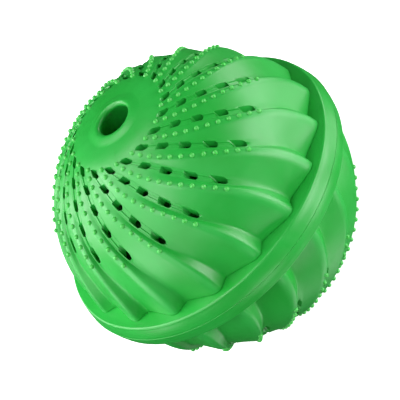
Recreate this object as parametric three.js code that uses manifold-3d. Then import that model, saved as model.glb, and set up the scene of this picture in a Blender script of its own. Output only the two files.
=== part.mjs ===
// Laundry ball: two slotted, fluted domes closed by a twist-lock band, with ceramic pellets inside.
// Millimetres, +Z up along the ball's axis, origin at the centre of the ball, in the seam of the band.
import * as THREE from 'three';
import { mergeVertices } from 'three/addons/utils/BufferGeometryUtils.js';
import Module from 'manifold-3d';

const wasm = await Module();
wasm.setup();

// Dome shell
const BALL_HEIGHT = 100.6;        // from lip to lip along the axis
const CREST_DIAMETER = 103.2;     // over the vane crests, at the equator of the dome
const WALL = 2;                   // shell under the bottom of a valley
const CAP_ANGLE = 20.2;           // polar angle where the smooth cap ends, in degrees

// Vanes: each one rises in a short step out of a valley and falls away in a long flat slope
const VANE_COUNT = 18;
const VANE_DEPTH = 3.8;           // crest over valley where the vanes end
const DEPTH_POWER = 2;            // how the depth grows from the cap to the vane ends
const SWIRL = 53.5;               // turn of a crest line from the cap to the vane ends, in degrees
const CREST_WIDTH = 1;            // flat top of a vane, at the cap
const CREST_WIDTH_AT_END = 2.4;
const STEP_WIDTH = 2.65;          // from the crest line to the middle of the valley, at the cap
const STEP_SWELL = 1.25;          // the step is wider by this along the slots
const STEP_OPENING = 1.55;        // and by this where the vanes end
const SWELL_SHARE = 0.2;          // share of a vane's length where the swell is full
const SLOTS_SHARE = 0.57;         // share of a vane's length that the slots take
const VANE_END_ROWS = 3;          // sections of the shell below the last slot

// Slots along each valley, by polar angle in degrees
const SLOT_COUNT = 5;
const SLOT_WIDTH = 2.3;
const SLOT_START = 22;
const SLOT_STEP = 6;
const SLOT_SPREAD = 0.49;         // makes the step grow towards the band
const SLOT_LENGTH = 3.3;
const SLOT_GROWTH = 0.3;          // each slot is longer than the one before by this
const SLOT_LEAN = 0.3;            // and its ends lean more by this

// Dome foot, which the ledge of the band snaps over
const SKIRT_INSET = 0.8;          // skirt inside the bottom of the valleys
const SKIRT_WALL = 1.8;
const FLANGE_REACH = 1.1;
const FLANGE_THICKNESS = 1.2;

// Band and its bayonet
const BAND_WALL = 2;              // at the rim
const BAND_TAPER = 0.9;           // the band is this much wider in radius at the seam than at the rim
const BAND_BOW = 0.15;            // how far the middle of the face stands out of a straight cone
const RIM_ROUND = 0.5;
const RIM_STEPS = 3;
const LEDGE_THICKNESS = 1.8;
const SPIGOT_WALL = 1.5;
const LUG_COUNT = 4;
const LUG_ANGLE = 24;
const LUG_REACH = 1.4;
const LUG_HEIGHT = 1.1;
const LUG_SEGMENTS = 4;
const STOP_ANGLE = 3;             // rib that ends the twist, in degrees round the spigot
const STOP_GAP = 1;               // free turn left before the rib, in degrees
const SEAM_GAP = 0.3;
const BAND_SEGMENTS = 48;

// Core tube from pole to pole
const BORE_DIAMETER = 14;
const TUBE_WALL = 1.6;
const COLLAR_REACH = 1.6;         // lip beyond the tube
const COLLAR_EDGE = 0.6;          // thickness of the lip where it meets the cap
const LIP_FLAT = 1;               // level ring on top of the lip, which the ball can stand on
const LIP_ROUND = 0.6;            // where the lip turns into the bore
const SOCKET_WALL = 1.5;
const SOCKET_DEPTH = 12;          // overlap of the two tubes, half above and half below the seam
const TUBE_SEGMENTS = 20;

// Ring magnets and the clips that hold them
const MAGNET_DIAMETER = 28;
const MAGNET_THICKNESS = 5;
const CLIP_WIDTH = 3.6;
const CLIP_THICKNESS = 1.2;
const CLIP_OPENING = 50;          // gap of the open ring, in degrees
const CLIP_SEGMENTS = 9;
const GROOVE_DEPTH = 0.6;
const MAGNET_SEGMENTS = 20;

// Ceramic pellets, in rings on the floor of the lower dome
const PELLET_DIAMETER = 8;
const PELLET_GAP = 0.7;
const PELLET_RINGS = 2;
const PELLET_SEGMENTS = 7;
const PELLET_ROWS = 5;

// Clearances
const FIT_CLEARANCE = 0.5;        // between parts that turn or slide past each other
const SEAT_CLEARANCE = 0.3;       // between parts that rest on each other
const LUG_CLEARANCE = 0.4;        // above and below the bayonet lugs
const MAGNET_CLEARANCE = 1;       // between a magnet and the cap above it
const MERGE_DISTANCE = 1e-3;      // points of a solid closer than this are one point

const radians = THREE.MathUtils.degToRad;
const smoothstep = THREE.MathUtils.smoothstep;

// Heights of the band, stacked up from the seam
const collarLugBottom = SEAM_GAP / 2 + SEAT_CLEARANCE;
const collarLugTop = collarLugBottom + LUG_HEIGHT;
const spigotLugBottom = collarLugTop + LUG_CLEARANCE;
const spigotTop = spigotLugBottom + LUG_HEIGHT;
const ledgeUnderside = spigotTop + LUG_CLEARANCE;
const ledgeHeight = ledgeUnderside + LEDGE_THICKNESS;
const vaneEndHeight = ledgeHeight + SEAT_CLEARANCE;
const flangeTop = ledgeUnderside - SEAT_CLEARANCE;
const flangeBottom = flangeTop - FLANGE_THICKNESS;
const skirtBottom = SEAM_GAP / 2;

// The crests lie on an ellipsoid. A point on it, by polar angle from the pole in radians.
const crestRadius = CREST_DIAMETER / 2;
const poleHeight = BALL_HEIGHT / 2;

function crestPoint(polar) {
  const reach = 1 / Math.hypot(Math.sin(polar) / crestRadius, Math.cos(polar) / poleHeight);
  return { radius: reach * Math.sin(polar), height: reach * Math.cos(polar) };
}

function crestRadiusAt(height) {
  return crestRadius * Math.sqrt(1 - (height / poleHeight) ** 2);
}

function crestHeightAt(radius) {
  return poleHeight * Math.sqrt(1 - (radius / crestRadius) ** 2);
}

const capPolar = radians(CAP_ANGLE);
const vaneEndPolar = Math.atan2(crestRadiusAt(vaneEndHeight), vaneEndHeight);

// How far along the vanes a section lies: 0 at the cap, 1 at the vane ends
function vaneShare(polar) {
  return Math.max(0, (polar - capPolar) / (vaneEndPolar - capPolar));
}

function stepWidth(polar) {
  const share = vaneShare(polar);
  const swell = smoothstep(share, 0, SWELL_SHARE) * (1 - smoothstep(share, SWELL_SHARE, SLOTS_SHARE));
  return STEP_WIDTH + STEP_SWELL * swell + STEP_OPENING * smoothstep(share, SLOTS_SHARE, 1);
}

function crestWidth(polar) {
  return THREE.MathUtils.lerp(CREST_WIDTH, CREST_WIDTH_AT_END, vaneShare(polar));
}

// Sections are level, so the depth across the shell is laid out along the radius
function valleyRadius(polar) {
  const depth = VANE_DEPTH * vaneShare(polar) ** DEPTH_POWER;
  return crestPoint(polar).radius - depth / Math.sin(polar);
}

// The vanes leave the cap slantwise and come down to the band upright
function swirlTurn(polar) {
  return radians(SWIRL) * (1 - (1 - vaneShare(polar)) ** 2);
}

function innerReach(polar) {
  return Math.hypot(valleyRadius(polar), crestPoint(polar).height) - WALL;
}

// Radii of the foot and the band, worked outwards from the bottom of the valleys
const skirtOuter = valleyRadius(vaneEndPolar) - SKIRT_INSET;
const skirtInner = skirtOuter - SKIRT_WALL;
const ledgeBore = skirtOuter + FIT_CLEARANCE;
const flangeOuter = ledgeBore + FLANGE_REACH;
const spigotInner = flangeOuter + FIT_CLEARANCE;
const spigotOuter = spigotInner + SPIGOT_WALL;
const spigotLugTip = spigotOuter + LUG_REACH;
const bandInner = spigotLugTip + FIT_CLEARANCE;
const collarLugTip = spigotOuter + FIT_CLEARANCE;
const rimRadius = bandInner + BAND_WALL;
const seamRadius = rimRadius + BAND_TAPER;

// Radii and heights of the core tube
const boreRadius = BORE_DIAMETER / 2;
const tubeOuter = boreRadius + TUBE_WALL;
const collarOuter = tubeOuter + COLLAR_REACH;
const socketInner = tubeOuter + FIT_CLEARANCE;
const socketOuter = socketInner + SOCKET_WALL;
const collarEdgeTop = crestHeightAt(collarOuter);
const collarUnderside = collarEdgeTop - COLLAR_EDGE;
const poleSeatHeight = collarUnderside - SEAT_CLEARANCE;
const poleSeatRadius = collarOuter + SEAT_CLEARANCE;
const poleBore = tubeOuter + SEAT_CLEARANCE;

// A ring magnet sits close under the cap, and its clip snaps into a groove below it
const magnetRadius = MAGNET_DIAMETER / 2;
const capPolarOverMagnet = Math.asin(magnetRadius / (poleHeight - WALL));
const magnetTop = (poleHeight - WALL) * Math.cos(capPolarOverMagnet) - MAGNET_CLEARANCE;
const magnetBottom = magnetTop - MAGNET_THICKNESS;
const clipTop = magnetBottom - SEAT_CLEARANCE;
const clipBottom = clipTop - CLIP_THICKNESS;
const grooveRadius = tubeOuter - GROOVE_DEPTH;
const grooveTop = clipTop + SEAT_CLEARANCE;
const grooveBottom = clipBottom - SEAT_CLEARANCE;
const clipInner = grooveRadius + SEAT_CLEARANCE;

const green = new THREE.MeshStandardMaterial({ color: 0x2fae4a, roughness: 0.42, metalness: 0 });
const ferrite = new THREE.MeshStandardMaterial({ color: 0x3a3b3d, roughness: 0.7, metalness: 0.1 });
const springSteel = new THREE.MeshStandardMaterial({ color: 0xb9bcc0, roughness: 0.3, metalness: 1 });
const ceramics = [0xe9e4d8, 0x8d8f8e, 0xb98a5c, 0xa8543c].map(
  (color) => new THREE.MeshStandardMaterial({ color, roughness: 0.8, metalness: 0 }),
);

// A solid of revolution: its outline runs up the outside, in over the top and down the inside
function revolve(outline, segments) {
  const points = [...outline, outline[0]].map(([radius, height]) => new THREE.Vector2(radius, height));
  return new THREE.LatheGeometry(points, segments).rotateX(Math.PI / 2);
}

// A block that fills part of a ring, between two radii, two angles in degrees and two heights
function ringSector(inner, outer, from, to, bottom, top) {
  const shape = new THREE.Shape();
  shape.absarc(0, 0, outer, radians(from), radians(to), false);
  shape.absarc(0, 0, inner, radians(to), radians(from), true);
  shape.closePath();
  const options = { depth: top - bottom, bevelEnabled: false, curveSegments: LUG_SEGMENTS };
  return new THREE.ExtrudeGeometry(shape, options).translate(0, 0, bottom);
}

function toSolid(geometry) {
  const bare = geometry.clone();
  bare.deleteAttribute('normal');
  bare.deleteAttribute('uv');
  const merged = mergeVertices(bare, MERGE_DISTANCE);
  return new wasm.Manifold(new wasm.Mesh({
    numProp: 3,
    vertProperties: new Float32Array(merged.attributes.position.array),
    triVerts: new Uint32Array(merged.index.array),
  }));
}

function toGeometry(solid) {
  const mesh = solid.getMesh();
  const geometry = new THREE.BufferGeometry();
  geometry.setAttribute('position', new THREE.BufferAttribute(mesh.vertProperties, 3));
  geometry.setIndex(new THREE.BufferAttribute(mesh.triVerts, 1));
  geometry.computeVertexNormals();
  return geometry;
}

function joinAll(base, additions) {
  return toGeometry(additions.reduce((solid, part) => solid.add(toSolid(part)), toSolid(base)));
}

// A mirror image of a piece in the plane of the seam, with its faces turned to point outwards again
function mirrored(geometry) {
  const copy = geometry.clone().scale(1, 1, -1);
  const index = Array.from(copy.index.array);
  copy.setIndex(index.map((_, corner) => index[corner - corner % 3 + 2 - corner % 3]));
  copy.computeVertexNormals();
  return copy;
}

const SIDES = [-1, 1];

// Azimuth of a place beside the crest of a vane, by its distance from the crest line
function azimuthBeside(polar, vane, distance) {
  const crest = vane * 2 * Math.PI / VANE_COUNT + swirlTurn(polar);
  return crest + distance / crestPoint(polar).radius;
}

// The two edges of the valley on the step side of a vane. A lean moves the edge next to the crest
// towards the band and the other one towards the cap.
function valleyEdges(polar, vane, lean) {
  return SIDES.map((side) => {
    const edgePolar = polar - side * lean;
    const distance = stepWidth(edgePolar) + side * SLOT_WIDTH / 2;
    return { polar: edgePolar, azimuth: azimuthBeside(edgePolar, vane, distance) };
  });
}

// The two sections between which a slot is open
function slotSections(slot) {
  const start = SLOT_START + SLOT_STEP * slot + SLOT_SPREAD * slot ** 2;
  const length = SLOT_LENGTH + SLOT_GROWTH * slot;
  const lean = radians(SLOT_LEAN * slot);
  return [start, start + length].map((degrees) => ({ polar: radians(degrees), lean }));
}

// The dome is lofted through rings, from the pole down the outside, round the foot and back up the
// inside. A ring holds two valley points for each vane and, where it shows the vanes, two shoulders too.
function domeGeometry() {
  const positions = [];
  const indices = [];

  function point(radius, azimuth, height) {
    positions.push(radius * Math.cos(azimuth), radius * Math.sin(azimuth), height);
    return positions.length / 3 - 1;
  }

  function eachVane(make) {
    return Array.from({ length: VANE_COUNT }, (_, vane) => make(vane));
  }

  function vaneRing({ polar, lean }) {
    const crest = crestPoint(polar);
    const edge = CREST_WIDTH / 2;
    return eachVane((vane) => ({
      shoulders: [edge - crestWidth(polar), edge].map((distance) => (
        point(crest.radius, azimuthBeside(polar, vane, distance), crest.height)
      )),
      valley: valleyEdges(polar, vane, lean).map((edge) => (
        point(valleyRadius(edge.polar), edge.azimuth, crestPoint(edge.polar).height)
      )),
    }));
  }

  // The slots are cored along the axis, so the inside of a slot's end lies straight under the outside
  function coredRing({ polar, lean }) {
    return eachVane((vane) => ({
      shoulders: [],
      valley: valleyEdges(polar, vane, lean).map((edge) => {
        const height = crestPoint(edge.polar).height - WALL / Math.cos(edge.polar);
        return point(valleyRadius(edge.polar), edge.azimuth, height);
      }),
    }));
  }

  function innerRing({ polar, lean }) {
    return eachVane((vane) => ({
      shoulders: [],
      valley: valleyEdges(polar, vane, lean).map((edge) => {
        const slope = Math.atan2(valleyRadius(edge.polar), crestPoint(edge.polar).height);
        const reach = innerReach(edge.polar);
        return point(reach * Math.sin(slope), edge.azimuth, reach * Math.cos(slope));
      }),
    }));
  }

  function plainRing(radius, height, section) {
    return eachVane((vane) => {
      const edges = valleyEdges(section.polar, vane, section.lean);
      return { shoulders: [], valley: edges.map((edge) => point(radius, edge.azimuth, height)) };
    });
  }

  // Fills the run between two rows of points that start and end over each other
  function fillRun(upper, lower) {
    const steps = Math.max(upper.length, lower.length) - 1;
    const pick = (row, step) => row[Math.round(step * (row.length - 1) / steps)];
    for (let step = 0; step < steps; step += 1) {
      const [a, b] = [pick(upper, step), pick(upper, step + 1)];
      const [c, d] = [pick(lower, step), pick(lower, step + 1)];
      if (c !== d) indices.push(a, c, d);
      if (a !== b) indices.push(a, d, b);
    }
  }

  function fillRings(upper, lower, valleysOpen) {
    eachVane((vane) => {
      const next = (vane + 1) % VANE_COUNT;
      const overVane = (ring) => [ring[vane].valley[1], ...ring[next].shoulders, ring[next].valley[0]];
      fillRun(overVane(upper), overVane(lower));
      if (!valleysOpen) fillRun(upper[vane].valley, lower[vane].valley);
    });
  }

  function fillSlotWalls(outerTop, outerBottom, innerTop, innerBottom) {
    eachVane((vane) => {
      const corners = (top, bottom) => [
        top[vane].valley[0], bottom[vane].valley[0], bottom[vane].valley[1], top[vane].valley[1],
      ];
      const outer = corners(outerTop, outerBottom);
      const inner = corners(innerTop, innerBottom);
      outer.forEach((corner, side) => {
        const after = (side + 1) % outer.length;
        indices.push(corner, outer[after], inner[after], corner, inner[after], inner[side]);
      });
    });
  }

  const cap = { polar: capPolar, lean: 0 };
  const vaneEnd = { polar: vaneEndPolar, lean: 0 };
  const slots = Array.from({ length: SLOT_COUNT }, (_, slot) => slotSections(slot));
  const lastSlotEnd = slots[SLOT_COUNT - 1][1].polar;
  const endRows = Array.from({ length: VANE_END_ROWS }, (_, row) => (
    { polar: THREE.MathUtils.lerp(lastSlotEnd, vaneEndPolar, (row + 1) / VANE_END_ROWS), lean: 0 }
  ));
  const rows = [...slots.flat(), ...endRows];
  const seatPolar = Math.atan2(poleSeatRadius, crestHeightAt(poleSeatRadius));
  const midCap = crestPoint((seatPolar + capPolar) / 2);
  const innerPole = Math.sqrt((poleHeight - WALL) ** 2 - poleBore ** 2);

  const outerRings = rows.map(vaneRing);
  const innerRings = [...slots.flat().map(coredRing), ...endRows.map(innerRing)];
  const loft = [
    plainRing(poleBore, poleSeatHeight, cap),
    plainRing(poleSeatRadius, poleSeatHeight, cap),
    plainRing(poleSeatRadius, crestHeightAt(poleSeatRadius), cap),
    plainRing(midCap.radius, midCap.height, cap),
    vaneRing(cap),
    ...outerRings,
    plainRing(skirtOuter, vaneEndHeight, vaneEnd),
    plainRing(skirtOuter, flangeTop, vaneEnd),
    plainRing(flangeOuter, flangeTop, vaneEnd),
    plainRing(flangeOuter, flangeBottom, vaneEnd),
    plainRing(skirtOuter, skirtBottom, vaneEnd),
    plainRing(skirtInner, skirtBottom, vaneEnd),
    ...innerRings.toReversed(),
    plainRing(poleBore, innerPole, cap),
  ];
  const isSlot = (upper, lower) => slots.some((_, slot) => (
    [outerRings, innerRings].some((rings) => (
      [upper, lower].includes(rings[2 * slot]) && [upper, lower].includes(rings[2 * slot + 1])
    ))
  ));
  loft.forEach((ring, row) => {
    const next = loft[(row + 1) % loft.length];
    fillRings(ring, next, isSlot(ring, next));
  });
  slots.forEach((_, slot) => {
    const [top, bottom] = [2 * slot, 2 * slot + 1];
    fillSlotWalls(outerRings[top], outerRings[bottom], innerRings[top], innerRings[bottom]);
  });

  const geometry = new THREE.BufferGeometry();
  geometry.setAttribute('position', new THREE.Float32BufferAttribute(positions, 3));
  geometry.setIndex(indices);
  geometry.computeVertexNormals();
  return geometry;
}

// Outside of one half of the band, from its seam to the ledge, for the upper half
function bandFace() {
  const faceTop = ledgeHeight - RIM_ROUND;
  const middle = [(seamRadius + rimRadius) / 2 + BAND_BOW, (SEAM_GAP / 2 + faceTop) / 2];
  const round = Array.from({ length: RIM_STEPS + 1 }, (_, step) => {
    const angle = step / RIM_STEPS * Math.PI / 2;
    return [rimRadius - RIM_ROUND * (1 - Math.cos(angle)), faceTop + RIM_ROUND * Math.sin(angle)];
  });
  return [[seamRadius, SEAM_GAP / 2], middle, ...round];
}

// Upper half of the band: it turns on the dome's foot, and its lugs pass under those of the spigot
function upperBandGeometry() {
  const ring = revolve([
    ...bandFace(),
    [ledgeBore, ledgeHeight],
    [ledgeBore, ledgeUnderside],
    [bandInner, ledgeUnderside],
    [bandInner, SEAM_GAP / 2],
  ], BAND_SEGMENTS);
  const lugPitch = 360 / LUG_COUNT;
  const lugs = Array.from({ length: LUG_COUNT }, (_, lug) => {
    const middle = (lug + 0.5) * lugPitch;
    const root = bandInner + BAND_WALL / 2;
    return ringSector(
      collarLugTip, root, middle - LUG_ANGLE / 2, middle + LUG_ANGLE / 2, collarLugBottom, collarLugTop,
    );
  });
  return joinAll(ring, lugs);
}

// Lower half of the band, with the spigot that carries the fixed lugs and the stops of the twist
function lowerBandGeometry() {
  const ring = revolve([
    [ledgeBore, -ledgeHeight],
    ...bandFace().map(([radius, height]) => [radius, -height]).toReversed(),
    [bandInner, -SEAM_GAP / 2],
    [bandInner, -ledgeUnderside],
    [spigotOuter, -ledgeUnderside],
    [spigotOuter, spigotTop],
    [spigotInner, spigotTop],
    [spigotInner, -ledgeUnderside],
    [ledgeBore, -ledgeUnderside],
  ], BAND_SEGMENTS);
  const root = spigotOuter - SPIGOT_WALL / 2;
  const lugPitch = 360 / LUG_COUNT;
  const blocks = Array.from({ length: LUG_COUNT }, (_, lug) => {
    const from = lug * lugPitch - LUG_ANGLE / 2;
    const stopEnd = from - STOP_ANGLE;
    const stopTop = (spigotLugBottom + spigotTop) / 2;
    return [
      ringSector(root, spigotLugTip, stopEnd, from + LUG_ANGLE, spigotLugBottom, spigotTop),
      ringSector(root, spigotLugTip, stopEnd, from - STOP_GAP, collarLugBottom, stopTop),
    ];
  }).flat();
  return joinAll(ring, blocks);
}

// Lip of a core tube, which rises from the cap and turns down into the bore, for the upper pole
const lipOutline = [
  [collarOuter, collarUnderside],
  [collarOuter, collarEdgeTop],
  [boreRadius + LIP_ROUND + LIP_FLAT, poleHeight],
  [boreRadius + LIP_ROUND, poleHeight],
  [boreRadius, poleHeight - LIP_ROUND],
];

// Outside of a core tube over its clip groove, up to the collar
const grooveOutline = [
  [tubeOuter, grooveBottom],
  [grooveRadius, grooveBottom],
  [grooveRadius, grooveTop],
  [tubeOuter, grooveTop],
  [tubeOuter, collarUnderside],
];

function upperTubeGeometry() {
  const tubeEnd = -SOCKET_DEPTH / 2 + SEAT_CLEARANCE;
  const foot = [[boreRadius, tubeEnd], [tubeOuter, tubeEnd]];
  return revolve([...foot, ...grooveOutline, ...lipOutline], TUBE_SEGMENTS);
}

// The lower tube ends in a socket that the upper tube drops into
function lowerTubeGeometry() {
  const shoulder = -SOCKET_DEPTH / 2;
  const below = [...grooveOutline, ...lipOutline].map(([radius, height]) => [radius, -height]);
  return revolve([
    ...below.toReversed(),
    [tubeOuter, shoulder - SOCKET_WALL * 2],
    [socketOuter, shoulder - SOCKET_WALL],
    [socketOuter, -shoulder],
    [socketInner, -shoulder],
    [socketInner, shoulder],
    [boreRadius, shoulder],
  ], TUBE_SEGMENTS);
}

function magnetGeometry() {
  const bore = tubeOuter + SEAT_CLEARANCE;
  return revolve([
    [bore, magnetBottom], [magnetRadius, magnetBottom], [magnetRadius, magnetTop], [bore, magnetTop],
  ], MAGNET_SEGMENTS);
}

function clipGeometry() {
  const from = CLIP_OPENING / 2;
  const shape = new THREE.Shape();
  shape.absarc(0, 0, clipInner + CLIP_WIDTH, radians(from), radians(360 - from), false);
  shape.absarc(0, 0, clipInner, radians(360 - from), radians(from), true);
  shape.closePath();
  const options = { depth: CLIP_THICKNESS, bevelEnabled: false, curveSegments: CLIP_SEGMENTS };
  return new THREE.ExtrudeGeometry(shape, options).translate(0, 0, clipBottom);
}

const ball = new THREE.Group();

function addPiece(parent, name, geometry, material) {
  const mesh = new THREE.Mesh(geometry, material);
  mesh.name = name;
  parent.add(mesh);
  return mesh;
}

const dome = domeGeometry();
const magnet = magnetGeometry();
const clip = clipGeometry();

const upperHalf = new THREE.Group();
ball.add(upperHalf);
addPiece(upperHalf, 'upper_dome', dome, green);
addPiece(upperHalf, 'upper_core_tube', upperTubeGeometry(), green);
addPiece(upperHalf, 'upper_ring_magnet', magnet, ferrite);
addPiece(upperHalf, 'upper_magnet_clip', clip, springSteel);
addPiece(upperHalf, 'upper_band', upperBandGeometry(), green);

// The lower dome is the mirror image of the upper one, so that its vanes meet those across the band.
// The magnet and its clip are the same parts, turned over about the X axis.
addPiece(ball, 'lower_dome', mirrored(dome), green);
const turnedOver = new THREE.Group();
turnedOver.rotation.x = Math.PI;
ball.add(turnedOver);
addPiece(turnedOver, 'lower_ring_magnet', magnet, ferrite);
addPiece(turnedOver, 'lower_magnet_clip', clip, springSteel);
addPiece(ball, 'lower_core_tube', lowerTubeGeometry(), green);
addPiece(ball, 'lower_band', lowerBandGeometry(), green);

// Pellets lie on the floor of the lower dome, in rings round the magnet
const pelletRadius = PELLET_DIAMETER / 2;
const pelletSpacing = PELLET_DIAMETER + PELLET_GAP;
const pellet = new THREE.SphereGeometry(pelletRadius, PELLET_SEGMENTS, PELLET_ROWS).rotateX(Math.PI / 2);
let polar = Math.asin((magnetRadius + pelletRadius + PELLET_GAP) / (poleHeight - WALL - pelletRadius));
let pelletNumber = 0;
for (let ring = 0; ring < PELLET_RINGS; ring += 1) {
  const reach = innerReach(polar) - pelletRadius - PELLET_GAP;
  const radius = reach * Math.sin(polar);
  const count = Math.floor(Math.PI / Math.asin(pelletSpacing / 2 / radius));
  for (let place = 0; place < count; place += 1) {
    pelletNumber += 1;
    const azimuth = (place + ring / 2) * 2 * Math.PI / count;
    const name = `ceramic_pellet_${String(pelletNumber).padStart(2, '0')}`;
    const mesh = addPiece(ball, name, pellet, ceramics[pelletNumber % ceramics.length]);
    mesh.position.set(radius * Math.cos(azimuth), radius * Math.sin(azimuth), -reach * Math.cos(polar));
  }
  polar += 2 * Math.asin(pelletSpacing / 2 / reach);
}

export default ball;
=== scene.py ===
# %% [markdown]
# # A laundry ball
# The real ball goes into a washing machine in place of powder. It is two green plastic half shells
# with swirling vanes, joined by a raised band that twists open, with a tube through the middle and
# ceramic pellets inside. The imported solids are the fixed frame: every finer piece made here goes
# where a solid already is, in metres, and moves with the same body.

# %% Load the frame
import math

import bmesh
import bpy
import numpy as np
from mathutils import Matrix, Vector


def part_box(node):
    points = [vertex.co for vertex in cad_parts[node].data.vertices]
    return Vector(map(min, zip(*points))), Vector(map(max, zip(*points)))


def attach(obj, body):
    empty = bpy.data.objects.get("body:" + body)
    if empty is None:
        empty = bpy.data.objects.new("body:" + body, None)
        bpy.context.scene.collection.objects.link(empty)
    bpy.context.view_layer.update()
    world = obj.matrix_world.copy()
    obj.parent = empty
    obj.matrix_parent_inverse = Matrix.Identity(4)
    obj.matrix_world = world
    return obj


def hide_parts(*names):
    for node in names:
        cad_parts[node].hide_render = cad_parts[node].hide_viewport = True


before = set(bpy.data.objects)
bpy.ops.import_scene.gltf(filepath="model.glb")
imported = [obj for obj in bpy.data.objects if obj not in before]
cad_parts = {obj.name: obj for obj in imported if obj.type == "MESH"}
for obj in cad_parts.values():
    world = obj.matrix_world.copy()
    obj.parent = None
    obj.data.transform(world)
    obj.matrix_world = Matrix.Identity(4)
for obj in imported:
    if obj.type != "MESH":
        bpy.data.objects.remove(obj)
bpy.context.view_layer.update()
scene = bpy.context.scene
MM = 0.001

# %% [markdown]
# The photograph was taken from above the band with a long lens, and the ball lies rolled over in
# the picture. A long lens keeps the ellipses of the band and of the hole nearly parallel.
# The camera could be aimed by an empty and a constraint, but a matrix written out once is plainer:
# a direction, a roll about it and a distance. The ball's middle is a few pixels off the centre of
# the picture, so the camera is slid sideways by that many pixels.

# %% Camera
PICTURE_SIZE = 400
LENS = 300
SENSOR = 36
CAMERA_DISTANCE = 1.122
CAMERA_AZIMUTH = math.radians(-84.0)
CAMERA_ELEVATION = math.radians(35.45)
CAMERA_ROLL = math.radians(49.3)
BALL_OFF_CENTRE = (5.2, -1.4)

towards_camera = Vector((
    math.cos(CAMERA_AZIMUTH) * math.cos(CAMERA_ELEVATION),
    math.sin(CAMERA_AZIMUTH) * math.cos(CAMERA_ELEVATION),
    math.sin(CAMERA_ELEVATION),
))
aim = (-towards_camera).to_track_quat("-Z", "Y").to_matrix()
camera_turn = aim @ Matrix.Rotation(-CAMERA_ROLL, 3, "Z")
camera_right, camera_up = camera_turn.col[0], camera_turn.col[1]
pixel = CAMERA_DISTANCE / (LENS / SENSOR * PICTURE_SIZE)
slide = camera_up * BALL_OFF_CENTRE[1] - camera_right * BALL_OFF_CENTRE[0]
camera = bpy.data.objects.new("camera", bpy.data.cameras.new("camera"))
camera.data.lens = LENS
camera.data.sensor_width = SENSOR
camera_place = towards_camera * CAMERA_DISTANCE + slide * pixel
camera.matrix_world = Matrix.Translation(camera_place) @ camera_turn.to_4x4()
scene.collection.objects.link(camera)
scene.camera = camera
print("one pixel is", round(pixel / MM, 3), "mm at the ball")

# %% [markdown]
# ## Finishes
# The shells are satin polypropylene in one saturated green. Such plastic is never quite even: the
# melt leaves faint clouds and streaks of colour, and the mould's fine spark texture scatters the light.
# The tops of the vanes are painted paler, a painted highlight where the crests catch the light. A flat
# colour with one roughness would look like paint, so noise at three sizes drives the colour, the
# roughness and a very shallow bump.
# Object coordinates, which are metres here, so a noise scale of 1000 has features of a millimetre.

# %% Node helpers
NOISE_LOW, NOISE_HIGH = 0.3, 0.7


def add_node(tree, kind, **settings):
    node = tree.nodes.new(kind)
    for key, value in settings.items():
        setattr(node, key, value)
    return node


def noise(tree, vector, scale, detail):
    node = add_node(tree, "ShaderNodeTexNoise")
    node.inputs["Scale"].default_value = scale
    node.inputs["Detail"].default_value = detail
    tree.links.new(vector, node.inputs["Vector"])
    return node.outputs["Fac"]


def remap(tree, value, low, high, to_low, to_high):
    node = add_node(tree, "ShaderNodeMapRange")
    for label, number in (("From Min", low), ("From Max", high), ("To Min", to_low), ("To Max", to_high)):
        node.inputs[label].default_value = number
    tree.links.new(value, node.inputs["Value"])
    return node.outputs["Result"]


def blend_colours(tree, factor, first, second):
    node = add_node(tree, "ShaderNodeMix", data_type="RGBA")
    tree.links.new(factor, node.inputs[0])
    for socket, colour in ((node.inputs[6], first), (node.inputs[7], second)):
        if isinstance(colour, tuple):
            socket.default_value = (*colour, 1)
        else:
            tree.links.new(colour, socket)
    return node.outputs[2]


def bump(tree, height, depth, strength, before=None):
    node = add_node(tree, "ShaderNodeBump")
    node.inputs["Distance"].default_value = depth
    node.inputs["Strength"].default_value = strength
    tree.links.new(height, node.inputs["Height"])
    if before is not None:
        tree.links.new(before, node.inputs["Normal"])
    return node.outputs["Normal"]


def colour_by(tree, shader, pattern, first, second):
    tree.links.new(blend_colours(tree, pattern, first, second), shader.inputs["Base Color"])


def roughness_by(tree, shader, pattern, smoothest, roughest):
    share = remap(tree, pattern, NOISE_LOW, NOISE_HIGH, smoothest, roughest)
    tree.links.new(share, shader.inputs["Roughness"])


def relief_by(tree, shader, pattern, depth, strength, before=None):
    tree.links.new(bump(tree, pattern, depth, strength, before), shader.inputs["Normal"])


def start_material(name):
    material = bpy.data.materials.new(name)
    material.use_nodes = True
    tree = material.node_tree
    coordinates = add_node(tree, "ShaderNodeTexCoord").outputs["Object"]
    return material, tree, tree.nodes["Principled BSDF"], coordinates


print("node helpers ready")

# %% [markdown]
# The dome, the band and the tube are mouldings of the same plastic from different tools, so they
# share one recipe with a slightly different gloss. The dome also reads an attribute, painted by the
# dome's maker on the tops of the vanes, that makes them paler: a painted highlight. The nubs are
# painted palest of all, a painted highlight for the light that small round things catch, and they are
# so small that light shines a little way into them, so their shader lets some light scatter under the
# skin.

# %% Green plastic
GREEN_DEEP = (0.012, 0.42, 0.038)
GREEN_PALE = (0.022, 0.49, 0.06)
# the next green and the two nub greens are paler: painted highlights for the crest tops and the nubs
GREEN_CREST_HIGHLIGHT = (0.04, 0.55, 0.09)
NUB_LIT_DEEP = (0.055, 0.56, 0.075)
NUB_LIT_PALE = (0.10, 0.64, 0.12)
CLOUD_LOW, CLOUD_HIGH = 0.35, 0.65
GLOSS_UNDER, GLOSS_OVER = 0.04, 0.05
PLASTIC_IOR, PLASTIC_SPECULAR = 1.49, 0.75
GLOW_SHARE, GLOW_COLOURS, GLOW_REACH = 0.6, (0.3, 1.0, 0.35), 0.001


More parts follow.
